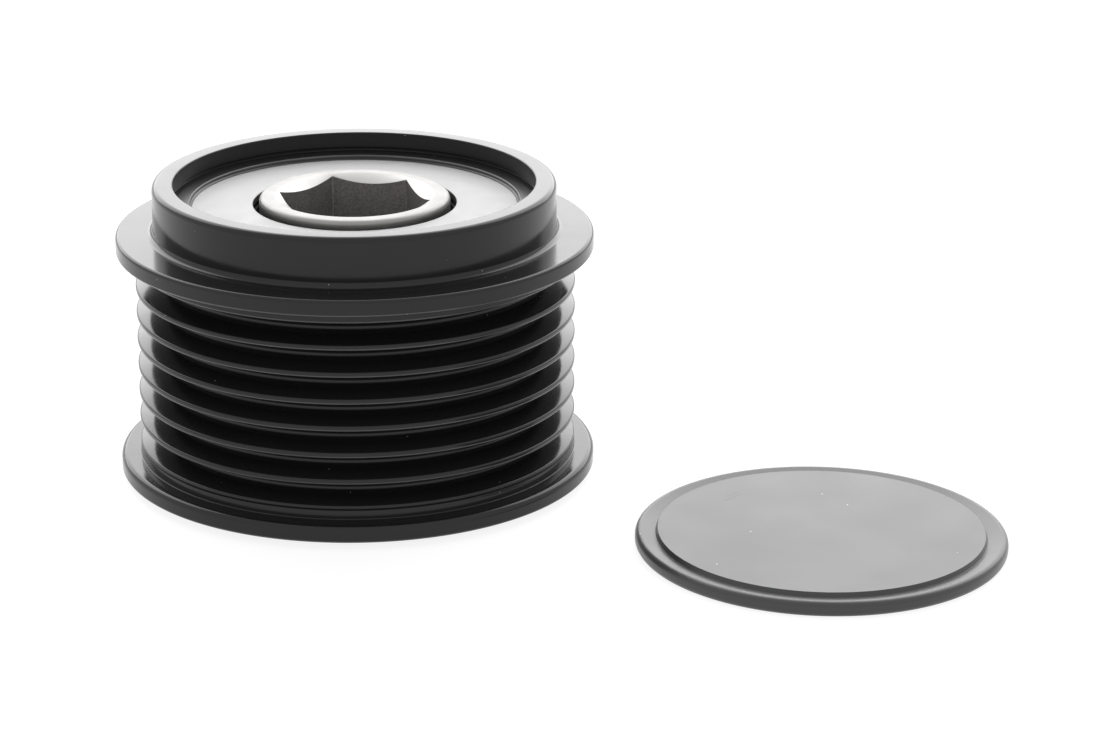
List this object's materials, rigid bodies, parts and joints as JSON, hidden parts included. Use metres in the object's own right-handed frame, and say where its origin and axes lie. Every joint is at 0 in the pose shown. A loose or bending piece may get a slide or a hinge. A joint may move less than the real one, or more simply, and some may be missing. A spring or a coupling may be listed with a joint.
{
  "type": "overrunning alternator pulley",
  "caption": "Black multi-groove belt pulley with two flanges, a one-way roller clutch inside, a hexagon socket in its hub and a round dust cap.",
  "frame": {"origin": "on the shaft axis, in the hub's rear face, where the shaft enters", "axes": "+Z along the shaft axis out of the tool socket at the front; the dust cap lies towards +X and -Y"},
  "size_m": [0.115, 0.0837, 0.0395],
  "materials": {
    "black_coat": "smooth black coat over turned steel, glossy",
    "plate_steel": "bright pressed steel, satin",
    "bright_steel": "turned steel, bright",
    "hardened_steel": "hardened and ground",
    "roller_steel": "ground and polished",
    "spring_steel": "rolled spring strip",
    "seal_steel": "phosphated sheet steel",
    "seal_rubber": "matte black rubber",
    "cage_plastic": "glass filled nylon, natural brown",
    "cap_plastic": "moulded dark grey plastic, satin"
  },
  "bodies": {
    "hub_body": {"hub": "bright_steel", "ramp_ring": "hardened_steel", "clutch_cage": "cage_plastic", "front_thrust_washer": "hardened_steel", "rear_thrust_washer": "hardened_steel", "dust_cap": "cap_plastic", "clutch_spring_01": "spring_steel", "clutch_spring_02": "spring_steel", "clutch_spring_03": "spring_steel", "clutch_spring_04": "spring_steel", "clutch_spring_05": "spring_steel", "clutch_spring_06": "spring_steel", "clutch_spring_07": "spring_steel", "clutch_spring_08": "spring_steel", "clutch_spring_09": "spring_steel", "clutch_spring_10": "spring_steel"},
    "ring_body": {"pulley_ring": "black_coat", "raceway_sleeve": "hardened_steel", "cover_plate": "plate_steel", "front_seal_case": "seal_steel", "front_seal_lip": "seal_rubber", "rear_seal_case": "seal_steel", "rear_seal_lip": "seal_rubber"},
    "front_row": {"front_row_cage": "cage_plastic", "front_roller_01": "roller_steel", "front_roller_02": "roller_steel", "front_roller_03": "roller_steel", "front_roller_04": "roller_steel", "front_roller_05": "roller_steel", "front_roller_06": "roller_steel", "front_roller_07": "roller_steel", "front_roller_08": "roller_steel", "front_roller_09": "roller_steel", "front_roller_10": "roller_steel", "front_roller_11": "roller_steel", "front_roller_12": "roller_steel"},
    "rear_row": {"rear_row_cage": "cage_plastic", "rear_roller_01": "roller_steel", "rear_roller_02": "roller_steel", "rear_roller_03": "roller_steel", "rear_roller_04": "roller_steel", "rear_roller_05": "roller_steel", "rear_roller_06": "roller_steel", "rear_roller_07": "roller_steel", "rear_roller_08": "roller_steel", "rear_roller_09": "roller_steel", "rear_roller_10": "roller_steel", "rear_roller_11": "roller_steel", "rear_roller_12": "roller_steel"},
    "clutch_rollers": {"clutch_roller_01": "roller_steel", "clutch_roller_02": "roller_steel", "clutch_roller_03": "roller_steel", "clutch_roller_04": "roller_steel", "clutch_roller_05": "roller_steel", "clutch_roller_06": "roller_steel", "clutch_roller_07": "roller_steel", "clutch_roller_08": "roller_steel", "clutch_roller_09": "roller_steel", "clutch_roller_10": "roller_steel"}
  },
  "joints": [
    {"name": "pulley_spin", "type": "hinge", "parent": "hub_body", "child": "ring_body", "pos_m": [0, 0, 0.018], "axis": [0, 0, 1], "continuous": true},
    {"name": "front_row_roll", "type": "hinge", "parent": "hub_body", "child": "front_row", "pos_m": [0, 0, 0.0272], "axis": [0, 0, 1], "continuous": true},
    {"name": "rear_row_roll", "type": "hinge", "parent": "hub_body", "child": "rear_row", "pos_m": [0, 0, 0.0091], "axis": [0, 0, 1], "continuous": true},
    {"name": "clutch_wedge", "type": "hinge", "parent": "hub_body", "child": "clutch_rollers", "pos_m": [0, 0, 0.0181], "axis": [0, 0, 1], "range_deg": [-3, 0], "stiffness_Nm_per_rad": 0.1, "springref_deg": -57.3}
  ],
  "couplings": [
    {"joint": "front_row_roll", "follows": "pulley_spin", "ratio": 0.55487},
    {"joint": "rear_row_roll", "follows": "pulley_spin", "ratio": 0.55487}
  ]
}
